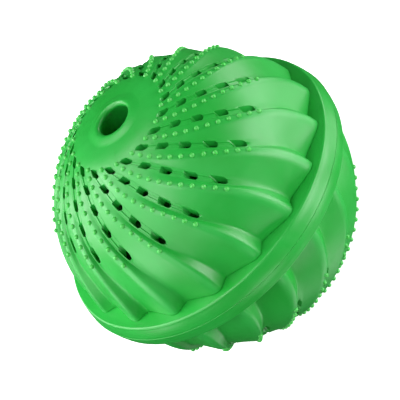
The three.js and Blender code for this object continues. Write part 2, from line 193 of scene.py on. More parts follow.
def green_plastic(name, gloss, with_crest_highlight, deep=GREEN_DEEP, pale=GREEN_PALE):
    material, tree, shader, place = start_material(name)
    clouds = noise(tree, place, scale=45.0, detail=3.0)
    streaks = noise(tree, place, scale=420.0, detail=5.0)
    spark = noise(tree, place, scale=3200.0, detail=2.0)
    colour = blend_colours(tree, remap(tree, clouds, CLOUD_LOW, CLOUD_HIGH, 0.0, 1.0), deep, pale)
    # paler colour on the crest tops: a painted highlight
    if with_crest_highlight:
        painted_crest_highlight = add_node(tree, "ShaderNodeAttribute", attribute_name="painted_crest_highlight").outputs["Fac"]
        colour = blend_colours(tree, painted_crest_highlight, colour, GREEN_CREST_HIGHLIGHT)
    tree.links.new(colour, shader.inputs["Base Color"])
    roughness_by(tree, shader, streaks, smoothest=gloss - GLOSS_UNDER, roughest=gloss + GLOSS_OVER)
    soft = bump(tree, streaks, depth=0.00006, strength=0.25)
    relief_by(tree, shader, spark, depth=0.00002, strength=0.3, before=soft)
    shader.inputs["IOR"].default_value = PLASTIC_IOR
    shader.inputs["Specular IOR Level"].default_value = PLASTIC_SPECULAR
    return material


dome_green = green_plastic("dome_green_satin", gloss=0.36, with_crest_highlight=True)
band_green = green_plastic("band_green_satin", gloss=0.33, with_crest_highlight=False)
tube_green = green_plastic("tube_green_satin", gloss=0.34, with_crest_highlight=False)
# the nub greens are paler than the shell: painted light, for the light that small round nubs catch
nub_lit_green = green_plastic("nub_green_painted_light", gloss=0.42, with_crest_highlight=False, deep=NUB_LIT_DEEP, pale=NUB_LIT_PALE)
nub_shader = nub_lit_green.node_tree.nodes["Principled BSDF"]
nub_shader.inputs["Subsurface Weight"].default_value = GLOW_SHARE
nub_shader.inputs["Subsurface Radius"].default_value = GLOW_COLOURS
nub_shader.inputs["Subsurface Scale"].default_value = GLOW_REACH
print("greens", dome_green.name, band_green.name, tube_green.name, nub_lit_green.name)

# %% [markdown]
# Inside the ball sit a pair of sintered ferrite rings, dull and slightly grainy, and the spring
# steel clips that hold them, bright with fine rolling lines. The pellets are fired clay in four
# bodies, so each has its own colour with dark specks and a dry, pitted surface.

# %% Inside finishes
ROLLING_STRETCH = (1, 14, 14)
SPECK_LOW, SPECK_HIGH = 0.58, 0.7
CLAY_PALER = 1.25


def ferrite_grain(name):
    material, tree, shader, place = start_material(name)
    grain = noise(tree, place, scale=1500.0, detail=6.0)
    colour_by(tree, shader, grain, first=(0.012, 0.012, 0.013), second=(0.055, 0.055, 0.06))
    roughness_by(tree, shader, grain, smoothest=0.5, roughest=0.75)
    relief_by(tree, shader, grain, depth=0.00008, strength=0.5)
    return material


def rolled_steel(name):
    material, tree, shader, place = start_material(name)
    stretch = add_node(tree, "ShaderNodeMapping")
    stretch.inputs["Scale"].default_value = ROLLING_STRETCH
    tree.links.new(place, stretch.inputs["Vector"])
    lines = noise(tree, stretch.outputs["Vector"], scale=500.0, detail=4.0)
    colour_by(tree, shader, lines, first=(0.42, 0.43, 0.45), second=(0.62, 0.63, 0.65))
    roughness_by(tree, shader, lines, smoothest=0.22, roughest=0.38)
    relief_by(tree, shader, lines, depth=0.00002, strength=0.3)
    shader.inputs["Metallic"].default_value = 1.0
    return material


def fired_clay(name, body, speck):
    material, tree, shader, place = start_material(name)
    dots = noise(tree, place, scale=1700.0, detail=2.0)
    clouds = noise(tree, place, scale=260.0, detail=4.0)
    pits = noise(tree, place, scale=1100.0, detail=5.0)
    pale = tuple(min(1.0, value * CLAY_PALER) for value in body)
    specks = remap(tree, dots, SPECK_LOW, SPECK_HIGH, 0.0, 1.0)
    colour_by(tree, shader, specks, first=blend_colours(tree, clouds, body, pale), second=speck)
    roughness_by(tree, shader, clouds, smoothest=0.68, roughest=0.9)
    relief_by(tree, shader, pits, depth=0.00025, strength=0.6)
    return material


ferrite = ferrite_grain("ferrite_grain")
spring_steel = rolled_steel("spring_steel_rolled")
clays = {
    "ceramic_white": fired_clay("clay_white", (0.70, 0.66, 0.57), (0.36, 0.31, 0.24)),
    "ceramic_grey": fired_clay("clay_grey", (0.24, 0.25, 0.25), (0.08, 0.08, 0.08)),
    "ceramic_tan": fired_clay("clay_tan", (0.43, 0.25, 0.11), (0.20, 0.10, 0.04)),
    "ceramic_terracotta": fired_clay("clay_terracotta", (0.36, 0.09, 0.045), (0.14, 0.04, 0.02)),
}
print("inside finishes", ferrite.name, spring_steel.name, sorted(clays))

# %% [markdown]
# ## The dome
# Each half shell carries 18 vanes like the teeth of a ratchet wheel: a rounded crest, a short steep
# step down to a valley, and a long flat slope up to the next crest. The vanes begin at a smooth cap
# round the pole, deepen towards the band and lag behind in a swirl. Because all 18 are alike, only
# one wedge is made point by point, and a node tree turns it round the axis. First the rule that
# gives the crest line, the depth and the swirl at any angle from the pole. Sizes are millimetres,
# and become metres when a mesh is made.

# %% Rule of the vanes
VANES = 18
PITCH = 2 * math.pi / VANES
CREST_RADIUS = 51.6
POLE_HEIGHT = 50.3
CAP_POLAR = math.radians(20.2)
VANE_END_HEIGHT = 5.55
VANE_DEPTH = 3.8
VANE_DEEPENS, SHELL_DEEPENS = 1.45, 2
SWIRL = math.radians(53.5)
STEP_WIDTH = 2.65
STEP_SWELL = 1.9
STEP_OPENING = 1.55
SWELL_SHARE, FALL_FROM, FALL_TO = 0.18, 0.2, 0.6
SLOTS_SHARE = 0.57
WALL = 2.0
CAP_DROP, CAP_DROP_FROM, CAP_DROP_TO = 0.7, 8.0, 17.5
EDGE_ROUND = 0.3
VANE_REST_HEIGHT = 5.27


def polar_at(height):
    return math.atan2(CREST_RADIUS * math.sqrt(1 - (height / POLE_HEIGHT) ** 2), height)


VANE_END_POLAR = polar_at(VANE_END_HEIGHT)
EDGE_POLAR = polar_at(VANE_REST_HEIGHT + EDGE_ROUND)


def smooth(value):
    value = np.clip(value, 0.0, 1.0)
    return value * value * (3 - 2 * value)


def crest_line(polar):
    reach = 1 / np.hypot(np.sin(polar) / CREST_RADIUS, np.cos(polar) / POLE_HEIGHT)
    return reach * np.sin(polar), reach * np.cos(polar)


def cap_drop(radius):
    return CAP_DROP * (1 - smooth((radius - CAP_DROP_FROM) / (CAP_DROP_TO - CAP_DROP_FROM)))


def vane_share(polar):
    return np.clip((polar - CAP_POLAR) / (VANE_END_POLAR - CAP_POLAR), 0.0, 1.0)


def swirl_turn(polar):
    return SWIRL * (1 - (1 - vane_share(polar)) ** 2)


def step_width(polar):
    share = vane_share(polar)
    fall = smooth((share - FALL_FROM) / (FALL_TO - FALL_FROM))
    opening = smooth((share - SLOTS_SHARE) / (1 - SLOTS_SHARE))
    return STEP_WIDTH + STEP_SWELL * smooth(share / SWELL_SHARE) * (1 - fall) + STEP_OPENING * opening


def valley_radius(polar, power=VANE_DEEPENS):
    return crest_line(polar)[0] - VANE_DEPTH * vane_share(polar) ** power / np.sin(polar)


def inner_reach(polar):
    return np.hypot(valley_radius(polar, SHELL_DEEPENS), crest_line(polar)[1]) - WALL


print("vanes end", round(math.degrees(VANE_END_POLAR), 2), "degrees from the pole")

# %% [markdown]
# Seen in a level cut, a vane is a crooked line with four corners: the two edges of its flat crest and
# the two sides of the valley floor. The corners of a moulding are rounded, so each is replaced by a
# small curve between two points on its straight sides. A pair of values says how it is along the
# slots and how it is at the band. Level points are complex numbers, because a turn about the axis is
# then one multiplication.

# %% Section of a vane
FLOOR_NARROWS_FROM, FLOOR_NARROWS_TO = math.radians(57), math.radians(72)
FLOOR_HALF = (1.9, 0.8)
CREST_EDGE = (0.9, 0.5)
CREST_WIDTH = (1.0, 2.9)
SHOULDER = (1.0, 1.8)
SHOULDER_MOST, BACK_BEND = 0.4, 0.45
EDGE_BEND_FROM, EDGE_BEND_TO = (0.3, 0.4), (0.6, 0.25)
FOOT_BEND_FROM, FOOT_BEND_TO = (0.12, 0.2), (0.06, 0.36)
TOE_BEND_FROM, TOE_BEND_TO = (0.06, 0.46), (0.25, 3.25)
FLAT_CAP_SHARE = 0.12
LEAST_SPAN = 1e-9


def ease(pair, share):
    return pair[0] + (pair[1] - pair[0]) * share


def bend(first, corner, last, along):
    return (1 - along) ** 2 * first + 2 * along * (1 - along) * corner + along ** 2 * last


def straight(first, last, along):
    return first + (last - first) * along


def towards(start, end, length):
    span = end - start
    return start + span * (length / np.maximum(np.abs(span), LEAST_SPAN))


def vane_corners(polar, narrow):
    radius, _ = crest_line(polar)
    valley = valley_radius(polar)
    middle, half = step_width(polar), ease(FLOOR_HALF, narrow)

    def corner(distance, reach):
        return reach * np.exp(1j * (swirl_turn(polar) + distance / radius))

    back = corner(CREST_EDGE[1] - ease(CREST_WIDTH, vane_share(polar)), radius)
    edge = corner(ease(CREST_EDGE, narrow), radius)
    return back, edge, corner(middle - half, valley), corner(middle + half, valley)


def section_point(polar, part, along):
    on_vane = np.maximum(polar, CAP_POLAR)
    narrow = smooth((on_vane - FLOOR_NARROWS_FROM) / (FLOOR_NARROWS_TO - FLOOR_NARROWS_FROM))
    back, edge, foot, toe = vane_corners(on_vane, narrow)
    last_toe, next_back = toe * np.exp(-1j * PITCH), back * np.exp(1j * PITCH)
    step, width, slope = np.abs(foot - edge), np.abs(edge - back), np.abs(back - last_toe)
    back_start = towards(back, last_toe, np.minimum(ease(SHOULDER, narrow), SHOULDER_MOST * slope))
    back_end = towards(back, edge, BACK_BEND * width)
    edge_start = towards(edge, back, ease(EDGE_BEND_FROM, narrow) * width)
    edge_end = towards(edge, foot, ease(EDGE_BEND_TO, narrow) * step)
    foot_start = towards(foot, edge, ease(FOOT_BEND_FROM, narrow) * step)
    foot_end = straight(foot, toe, ease(FOOT_BEND_TO, narrow))
    toe_start = straight(toe, foot, ease(TOE_BEND_FROM, narrow))
    toe_end = towards(toe, next_back, ease(TOE_BEND_TO, narrow))
    level = {
        "slope_up": straight(back_start, (last_toe + back) / 2, 1 - along),
        "back": bend(back_start, back, back_end, along),
        "edge": bend(edge_start, edge, edge_end, along),
        "step": straight(edge_end, foot_start, along),
        "foot": bend(foot_start, foot, foot_end, along),
        "floor": straight(foot_end, toe_start, along),
        "toe": bend(toe_start, toe, toe_end, along),
        "slope_on": straight(toe_end, (toe + next_back) / 2, along),
    }[part]
    radius, height = crest_line(polar)
    flat = 1 - smooth(vane_share(polar) / FLAT_CAP_SHARE)
    return level * (1 + flat * (radius / np.abs(level) - 1)), height - cap_drop(radius)


edge_level, edge_height = section_point(np.array([VANE_END_POLAR]), "edge", 0.0)
edge_out, edge_up = float(abs(edge_level[0])), float(edge_height[0])
print("crest ends", round(edge_out, 2), "mm out and", round(edge_up, 2), "mm up")

# %% [markdown]
# The wedge is a grid of columns across the vane and rows from the cap to the band. The columns pass
# over each part of the section in turn. They stand closest on the valley floor, where a narrow groove
# joins the slots and a fine raised edge runs along each side of them. Places on the floor are counted
# from its middle to both sides.

# %% Columns of the wedge
COLUMN_COUNTS = {"slope_up": 5, "back": 6, "edge": 6, "step": 2, "foot": 4}
TOE_COLUMNS, SLOPE_ON_COLUMNS = 5, 7
GROOVE_PLACES = (0.3, 0.44, 1.0, 1.05, 1.1)
GROOVE_DEPTHS = (0.3, 0.0, 0.0, -0.05, 0.0)
HOLE_EDGE = 0.95
FLOOR_EDGE = 1.15
FLOOR_SIDE = (0.3, 0.44, 0.7, HOLE_EDGE, 1.0, 1.05, 1.1)
FLOOR_PLACES = (*[-place for place in FLOOR_SIDE[::-1]], 0.0, *FLOOR_SIDE)

columns = []
for part, count in COLUMN_COUNTS.items():
    columns += [(part, along, 0.0) for along in np.arange(count) / count]
columns += [("floor", 0.5 + 0.5 * across / FLOOR_EDGE, across) for across in FLOOR_PLACES]
columns += [("toe", along, 0.0) for along in np.linspace(0, 1, TOE_COLUMNS)]
columns += [("slope_on", along, 0.0) for along in np.linspace(0, 1, SLOPE_ON_COLUMNS + 1)[1:]]
column_parts = [part for part, _, _ in columns]
crest_top = column_parts.index("edge")
floor_columns = [index for index, part in enumerate(column_parts) if part == "floor"]
left_edge, right_edge = [index for index, column in enumerate(columns) if abs(column[2]) == HOLE_EDGE]
print(len(columns), "columns, slots from column", left_edge, "to", right_edge)

# %% [markdown]
# Each slot has a square end and a round nose towards the band. A boolean cut would leave ragged
# faces, so the rows of the grid are bent to the two ends of every slot, and the slot is simply the
# cells between them left out. The rows in between run over from one bent row to the following one.
# The slots lie further apart and grow longer towards the band, by a rule in degrees from the pole.

# %% Rows of the wedge
SLOTS = 5
SLOT_MIDDLE_RULE = (23.15, 6.15, 0.49)
SLOT_LENGTH_RULE = (3.5, 0.2, 0.1)
SLOT_LEAN = 0.3
NOSE = 0.8
CORNER, CORNER_POWER = 0.2, 6
SEAT_RADIUS = 10.26
SLOTS_END = 62.0
ROWS_ON_CAP, ROWS_TO_SLOTS, ROWS_IN_SLOT, ROWS_BETWEEN, ROWS_TO_BAND = 8, 4, 6, 4, 23


def rising(rule, number):
    first, rise, rise_more = rule
    return first + rise * number + rise_more * number ** 2


def spread(values):
    anchors = [0, crest_top, *floor_columns, len(columns) - 1]
    return np.interp(np.arange(len(columns)), anchors, [0.0, 0.0, *values, 0.0])


def level_row(degrees):
    return np.full(len(columns), degrees)


def bent_row(degrees, slot, nose):
    across = np.array(FLOOR_PLACES)
    inside = np.clip(np.abs(across), 0, 1)
    lean = -SLOT_LEAN * slot * across
    degree = math.degrees(1 / CREST_RADIUS) / math.cos(math.radians(degrees))
    if nose:
        shape = -NOSE * degree * (1 - np.sqrt(1 - inside ** 2))
    else:
        shape = CORNER * degree * inside ** CORNER_POWER
    return degrees + spread(lean + shape)


seat_edge = POLE_HEIGHT * math.sqrt(1 - (SEAT_RADIUS / CREST_RADIUS) ** 2)
seat_degrees = math.degrees(math.atan2(SEAT_RADIUS, seat_edge))
keys = [(level_row(seat_degrees), ROWS_ON_CAP), (level_row(math.degrees(CAP_POLAR)), ROWS_TO_SLOTS)]
slot_rows = []
for slot in range(SLOTS):
    middle, half = rising(SLOT_MIDDLE_RULE, slot), rising(SLOT_LENGTH_RULE, slot) / 2
    keys.append((bent_row(middle - half, slot, False), ROWS_IN_SLOT))
    keys.append((bent_row(middle + half, slot, True), ROWS_BETWEEN))
    first = ROWS_ON_CAP + ROWS_TO_SLOTS + slot * (ROWS_IN_SLOT + ROWS_BETWEEN)
    slot_rows.append((first, first + ROWS_IN_SLOT))
keys += [(level_row(SLOTS_END), ROWS_TO_BAND), (level_row(math.degrees(EDGE_POLAR)), 0)]
rows = []
for (row, steps), (row_on, _) in zip(keys, keys[1:]):
    rows += [row + (row_on - row) * step / steps for step in range(steps)]
polars = np.radians(np.array(rows + [keys[-1][0]]))
groove_start, groove_end = slot_rows[0][0], slot_rows[-1][1]
in_order = bool((np.diff(polars, axis=0) > 0).all())
print(polars.shape[0], "rows, slots at rows", slot_rows, "in order", in_order)

# %% [markdown]
# The points of the outside come straight from the rule. The slots are cored by pins that pull out
# along the axis, so their walls are upright and the inside lies straight under the outside. That is
# why so much of the slot walls shows from the side. They look deeper in the picture than the shell
# is thick, so along the slots of the upper dome the wall grows thicker on the inside. Past the slots
# the inside follows the shell.

# %% Points of the wedge
INNER_FROM, INNER_SAMPLES = math.radians(9), 400
THICK_FROM, THICK_FULL = math.radians(18), math.radians(21)
THICK_UNTIL, THICK_END = math.radians(60), math.radians(70)
SLOT_WALL_MORE = 0.8


def outer_points():
    points = np.zeros((*polars.shape, 3))
    depth = np.zeros(polars.shape[0])
    depth[groove_start:groove_end + 1] = 1.0
    for index, (part, along, across) in enumerate(columns):
        polar = polars[:, index]
        level, height = section_point(polar, part, along)
        sunk = 0.0
        if part == "floor":
            sunk = float(np.interp(abs(across), GROOVE_PLACES, GROOVE_DEPTHS))
        level = level * (1 - depth * sunk * np.sin(polar) / np.abs(level))
        points[:, index, 0] = level.real
        points[:, index, 1] = level.imag
        points[:, index, 2] = height - depth * sunk * np.cos(polar)
    return points


def inner_points(outside, thicker):
    azimuth = np.arctan2(outside[:, :, 1], outside[:, :, 0])
    across = np.hypot(outside[:, :, 0], outside[:, :, 1])
    polar = np.linspace(INNER_FROM, VANE_END_POLAR, INNER_SAMPLES)
    slope = np.arctan2(valley_radius(polar, SHELL_DEEPENS), crest_line(polar)[1])
    grown = smooth((polar - THICK_FROM) / (THICK_FULL - THICK_FROM))
    grown = grown * (1 - smooth((polar - THICK_UNTIL) / (THICK_END - THICK_UNTIL)))
    reach = inner_reach(polar) - thicker * grown
    radius = reach * np.sin(slope)
    under = np.interp(across, radius, polar)
    rest = np.linspace(0, 1, len(across) - groove_end)[:, None]
    under[groove_end:] = under[groove_end] + (VANE_END_POLAR - under[groove_end]) * rest
    level = np.interp(under, polar, radius)
    height = np.interp(under, polar, reach * np.cos(slope))
    return np.stack([level * np.cos(azimuth), level * np.sin(azimuth), height], axis=2)


outer = outer_points()
upper_inner, lower_inner = inner_points(outer, SLOT_WALL_MORE), inner_points(outer, 0.0)
outside_reach = float(np.hypot(outer[:, :, 0], outer[:, :, 1]).max())
inside_reach = float(np.hypot(upper_inner[:, :, 0], upper_inner[:, :, 1]).max())
print("outside reaches", round(outside_reach, 2), "mm, inside", round(inside_reach, 2), "mm")

# %% [markdown]
# Now the faces. The outside is a grid with the slot cells left out, and the inside a coarser one with
# the same cells left out, because nobody looks at it closely. Each slot's edge is joined to its
# partner on the other surface, which gives the slot its walls.

# %% Grids and slot walls
INNER_LAST_SPAN, INNER_FIRST_STEP, INNER_ROW_STEP = 4, 6, 7
last_row, last_column = polars.shape[0] - 1, polars.shape[1] - 1
inner_columns = [0, crest_top, *range(left_edge, right_edge + 1)]
inner_columns += [last_column - INNER_LAST_SPAN, last_column]
inner_rows = [0, *range(ROWS_ON_CAP, groove_end + 1)]
inner_rows += [*range(groove_end + INNER_FIRST_STEP, last_row, INNER_ROW_STEP), last_row]


def add_rows(points, block):
    first = len(points)
    points.extend(block.reshape(-1, 3).tolist())
    return (first + np.arange(block.shape[0] * block.shape[1])).reshape(block.shape[:2])


def in_slot(row, column):
    return left_edge <= column < right_edge and any(first <= row < last for first, last in slot_rows)


def inside_in_slot(row, column):
    return in_slot(inner_rows[row], inner_columns[column])


def grid_faces(ids, left_out=None, turned_over=False):
    faces = []
    for row, (this, after) in enumerate(zip(ids[:-1].tolist(), ids[1:].tolist())):
        for column in range(len(this) - 1):
            if left_out is None or not left_out(row, column):
                first, *others = this[column], after[column], after[column + 1], this[column + 1]
                faces.append([first, *others[::-1]] if turned_over else [first, *others])
    return faces


def slot_walls(outside, inside):
    inside_at = np.zeros(polars.shape, dtype=int)
    inside_at[np.ix_(inner_rows, inner_columns)] = inside
    faces = []
    for first, last in slot_rows:
        edge = [(first, column) for column in range(left_edge, right_edge)]
        edge += [(row, right_edge) for row in range(first, last)]
        edge += [(last, column) for column in range(right_edge, left_edge, -1)]
        edge += [(row, left_edge) for row in range(last, first, -1)]
        for this, after in zip(edge, edge[1:] + edge[:1]):
            wall = outside[this], outside[after], inside_at[after], inside_at[this]
            faces.append([int(corner) for corner in wall])
    return faces


print("inside has", len(inner_columns), "columns and", len(inner_rows), "rows")

# %% [markdown]
# At the foot the vanes are rounded under, and a skirt with a small flange follows, on which the band
# turns. At the pole there is the seat for the tube's collar. Both are rows of points at a given
# radius and height, under the columns of the outside, and fans of larger faces close the shell where
# such a row meets the coarser inside.

# %% Whole wedge
SKIRT_OUTER, SKIRT_INNER, SKIRT_BOTTOM = 46.66, 44.86, 0.15
FLANGE_OUTER, FLANGE_TOP, FLANGE_BOTTOM = 48.26, 3.15, 1.95
SEAT_HEIGHT, POLE_BORE = 47.81, 8.9
ROUND_UNDER_STEPS, ROUND_UNDER_MOST = 4, 0.8


def level_ring(azimuths, radius, height):
    flat = np.full_like(azimuths, height)
    return np.stack([radius * np.cos(azimuths), radius * np.sin(azimuths), flat], axis=1)[None]


def foot_rows(inside_end):
    azimuths = np.arctan2(outer[-1, :, 1], outer[-1, :, 0])
    radii = np.hypot(outer[-1, :, 0], outer[-1, :, 1])
    inset = np.minimum(EDGE_ROUND, ROUND_UNDER_MOST * (radii - SKIRT_OUTER))
    corners = []
    for angle in np.linspace(0, math.pi / 2, ROUND_UNDER_STEPS + 1)[1:]:
        height = VANE_REST_HEIGHT + EDGE_ROUND * (1 - math.sin(angle))
        corners.append((radii - inset * (1 - math.cos(angle)), height))
    corners += [
        (SKIRT_OUTER, VANE_REST_HEIGHT), (SKIRT_OUTER, FLANGE_TOP), (FLANGE_OUTER, FLANGE_TOP),
        (FLANGE_OUTER, FLANGE_BOTTOM), (SKIRT_OUTER, FLANGE_BOTTOM), (SKIRT_OUTER, SKIRT_BOTTOM),
        (SKIRT_INNER, SKIRT_BOTTOM), (SKIRT_INNER, inside_end),
    ]
    return np.concatenate([level_ring(azimuths, *corner) for corner in corners])


def seat_rows():
    azimuths = np.arctan2(outer[0, :, 1], outer[0, :, 0])
    inner_pole = math.sqrt((POLE_HEIGHT - WALL) ** 2 - POLE_BORE ** 2)
    corners = ((POLE_BORE, inner_pole), (POLE_BORE, SEAT_HEIGHT), (SEAT_RADIUS, SEAT_HEIGHT))
    return np.concatenate([level_ring(azimuths, *corner) for corner in corners])


def fan_faces(fine, coarse, turned_over):
    faces = []
    for place, (start, end) in enumerate(zip(inner_columns, inner_columns[1:])):
        face = fine[start:end + 1].tolist() + [int(coarse[place + 1]), int(coarse[place])]
        faces.append(face[::-1] if turned_over else face)
    return faces


def make_wedge(inner):
    points = []
    outside = add_rows(points, outer)
    inside = add_rows(points, inner[np.ix_(inner_rows, inner_columns)])
    foot = add_rows(points, foot_rows(float(inner[-1, 0, 2])))
    seat = add_rows(points, seat_rows())
    faces = grid_faces(outside, in_slot)
    faces += grid_faces(inside, inside_in_slot, True)
    faces += slot_walls(outside, inside)
    faces += grid_faces(np.concatenate([outside[-1:], foot]))
    faces += fan_faces(foot[-1], inside[-1], False)
    faces += grid_faces(np.concatenate([seat, outside[:1]]))
    faces += fan_faces(seat[0], inside[0], True)
    return np.array(points), faces


upper_wedge, lower_wedge = make_wedge(upper_inner), make_wedge(lower_inner)
print("wedge", len(upper_wedge[0]), "points,", len(upper_wedge[1]), "faces")

# %% [markdown]
# ## Turning pieces round the axis
# One node tree serves for everything that repeats round the ball: it makes one point for each copy,
# puts the incoming mesh on every point with a growing turn, makes the copies real, welds the seams
# and sets the finish. The same could be done with an array modifier and an empty, but a tree needs
# no helper object and its count is a named input.

# %% Round-the-axis tree
def new_tree(name, inputs):
    tree = bpy.data.node_groups.new(name, "GeometryNodeTree")
    tree.interface.new_socket("Mesh", in_out="INPUT", socket_type="NodeSocketGeometry")
    for label, kind in inputs:
        tree.interface.new_socket(label, in_out="INPUT", socket_type=kind)
    tree.interface.new_socket("Mesh", in_out="OUTPUT", socket_type="NodeSocketGeometry")
    return tree, add_node(tree, "NodeGroupInput"), add_node(tree, "NodeGroupOutput")


def turned_copies(tree, shape, count):
    line = add_node(tree, "GeometryNodeMeshLine")
    line.inputs["Offset"].default_value = (0, 0, 0)
    tree.links.new(count, line.inputs["Count"])
    share = add_node(tree, "ShaderNodeMath", operation="DIVIDE")
    tree.links.new(add_node(tree, "GeometryNodeInputIndex").outputs[0], share.inputs[0])
    tree.links.new(count, share.inputs[1])
    turn = add_node(tree, "ShaderNodeMath", operation="MULTIPLY")
    tree.links.new(share.outputs[0], turn.inputs[0])
    turn.inputs[1].default_value = 2 * math.pi
    about = add_node(tree, "ShaderNodeCombineXYZ")
    tree.links.new(turn.outputs[0], about.inputs["Z"])
    copies = add_node(tree, "GeometryNodeInstanceOnPoints")
    tree.links.new(line.outputs["Mesh"], copies.inputs["Points"])
    tree.links.new(shape, copies.inputs["Instance"])
    tree.links.new(about.outputs[0], copies.inputs["Rotation"])
    return copies.outputs["Instances"]


def close_tree(tree, shape, weld, finish, group_out):
    real = add_node(tree, "GeometryNodeRealizeInstances")
    tree.links.new(shape, real.inputs[0])
    result = real.outputs[0]
    if weld is not None:
        merge = add_node(tree, "GeometryNodeMergeByDistance")
        tree.links.new(result, merge.inputs["Geometry"])
        tree.links.new(weld, merge.inputs["Distance"])
        result = merge.outputs[0]
    paint = add_node(tree, "GeometryNodeSetMaterial")
    tree.links.new(result, paint.inputs["Geometry"])
    tree.links.new(finish, paint.inputs["Material"])
    tree.links.new(paint.outputs[0], group_out.inputs[0])


def run_tree(piece, tree, values):
    modifier = piece.modifiers.new(tree.name, "NODES")
    modifier.node_group = tree
    for item in tree.interface.items_tree:
        if item.in_out == "INPUT" and item.name in values:
            modifier[item.identifier] = values[item.name]
    graph = bpy.context.evaluated_depsgraph_get()
    made = bpy.data.meshes.new_from_object(piece.evaluated_get(graph))
    piece.modifiers.remove(modifier)
    piece.data = made
    made.name = piece.name


ring_tree, ring_in, ring_out = new_tree("turn_round_axis", [
    ("Copies", "NodeSocketInt"), ("Weld", "NodeSocketFloat"), ("Finish", "NodeSocketMaterial"),
])
ring_copies = turned_copies(ring_tree, ring_in.outputs["Mesh"], ring_in.outputs["Copies"])
close_tree(ring_tree, ring_copies, ring_in.outputs["Weld"], ring_in.outputs["Finish"], ring_out)
print("tree", ring_tree.name, "with", len(ring_tree.nodes), "nodes")

# %% [markdown]
# A finished piece is shaded smooth except at real edges, rides on its body and stands for the solid
# that it covers.

# %% Piece helpers
SAME_PLACE = 1e-7
CREASE = 38


def new_piece(name, points, faces):
    mesh = bpy.data.meshes.new(name)
    mesh.from_pydata((np.asarray(points) * MM).tolist(), [], faces)
    piece = bpy.data.objects.new(name, mesh)
    scene.collection.objects.link(piece)
    return piece


def outward(piece):
    work = bmesh.new()
    work.from_mesh(piece.data)
    bmesh.ops.remove_doubles(work, verts=work.verts, dist=SAME_PLACE)
    bmesh.ops.recalc_face_normals(work, faces=work.faces)
    work.to_mesh(piece.data)
    work.free()


def settle(piece, body, nodes=(), crease=CREASE):
    piece.data.polygons.foreach_set("use_smooth", [True] * len(piece.data.polygons))
    piece.data.set_sharp_from_angle(angle=math.radians(crease))
    piece.data.update()
    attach(piece, body)
    if nodes:
        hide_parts(*nodes)
    triangles = sum(len(face.vertices) - 2 for face in piece.data.polygons)
    print(piece.name, triangles, "triangles on", body)


print("piece helpers ready")

# %% [markdown]
# Each dome is its wedge, turned round the axis once for every vane. The lower one is then mirrored,
# which turns its faces inside out, so they are flipped back. The paler paint on the crests, a painted
# highlight, fades from the top of the crest to both sides and grows towards the band.

# %% Upper and lower dome
# paler paint on the crest tops, a painted highlight, stronger towards the band
CREST_HIGHLIGHT_MOST = 0.7
WELD = 1e-6
crest_highlight_grid = np.zeros(polars.shape)
for index, (part, along, _) in enumerate(columns):
    if part in ("back", "edge"):
        highlight_share = along if part == "back" else 1 - along
        crest_highlight_grid[:, index] = highlight_share * vane_share(polars[:, index])


def make_dome(name, wedge):
    dome = new_piece(name, *wedge)
    painted_crest_highlight = np.zeros(len(wedge[0]), dtype=np.float32)
    painted_crest_highlight[:crest_highlight_grid.size] = crest_highlight_grid.ravel() * CREST_HIGHLIGHT_MOST
    dome.data.attributes.new("painted_crest_highlight", "FLOAT", "POINT").data.foreach_set("value", painted_crest_highlight)
    run_tree(dome, ring_tree, {"Copies": VANES, "Weld": WELD, "Finish": dome_green})
    outward(dome)
    return dome


upper_dome = make_dome("upper_dome_shell", upper_wedge)
lower_dome = make_dome("lower_dome_shell", lower_wedge)
lower_dome.data.transform(Matrix.Scale(-1, 4, (0, 0, 1)))
lower_dome.data.flip_normals()
settle(upper_dome, "upper_half", ["upper_dome"])
settle(lower_dome, "lower_half", ["lower_dome"])

# %% [markdown]
# ## The nubs
# A row of twelve little domes stands on each crest to scrub the cloth. They follow the crest line,
# so the tree takes the twelve points of one crest, puts a small ball on each, leaning with the
# surface, and turns the row round the axis like the wedge. With 216 nubs on a half, a nub has only
# a few dozen faces.

# %% Nub tree
NUB_SEGMENTS, NUB_RINGS = 10, 6

nub_tree, nub_in, nub_out = new_tree("nub_rows", [
    ("Copies", "NodeSocketInt"), ("Radius", "NodeSocketFloat"), ("Finish", "NodeSocketMaterial"),
])
nub_ball = add_node(nub_tree, "GeometryNodeMeshUVSphere")
nub_ball.inputs["Segments"].default_value = NUB_SEGMENTS
nub_ball.inputs["Rings"].default_value = NUB_RINGS
nub_tree.links.new(nub_in.outputs["Radius"], nub_ball.inputs["Radius"])
lean = add_node(nub_tree, "FunctionNodeAlignRotationToVector", axis="Z")
nub_tree.links.new(add_node(nub_tree, "GeometryNodeInputPosition").outputs[0], lean.inputs["Vector"])
nub_row = add_node(nub_tree, "GeometryNodeInstanceOnPoints")
nub_tree.links.new(nub_in.outputs["Mesh"], nub_row.inputs["Points"])
nub_tree.links.new(nub_ball.outputs["Mesh"], nub_row.inputs["Instance"])
nub_tree.links.new(lean.outputs[0], nub_row.inputs["Rotation"])
nub_copies = turned_copies(nub_tree, nub_row.outputs["Instances"], nub_in.outputs["Copies"])
close_tree(nub_tree, nub_copies, None, nub_in.outputs["Finish"], nub_out)
print("tree", nub_tree.name, "with", len(nub_tree.nodes), "nodes")

# %% [markdown]
# The nubs begin at the edge of the cap and spread out a little towards the band, by the same kind of
# rule as the slots. Each is sunk into the crest to its middle, so no gap shows under it.

# %% Nub rows
NUBS_ON_CREST = 12
NUB_POLAR_RULE = (21.8, 3.1, 0.021)
NUB_RADIUS, NUB_SINK = 0.85, 0.05

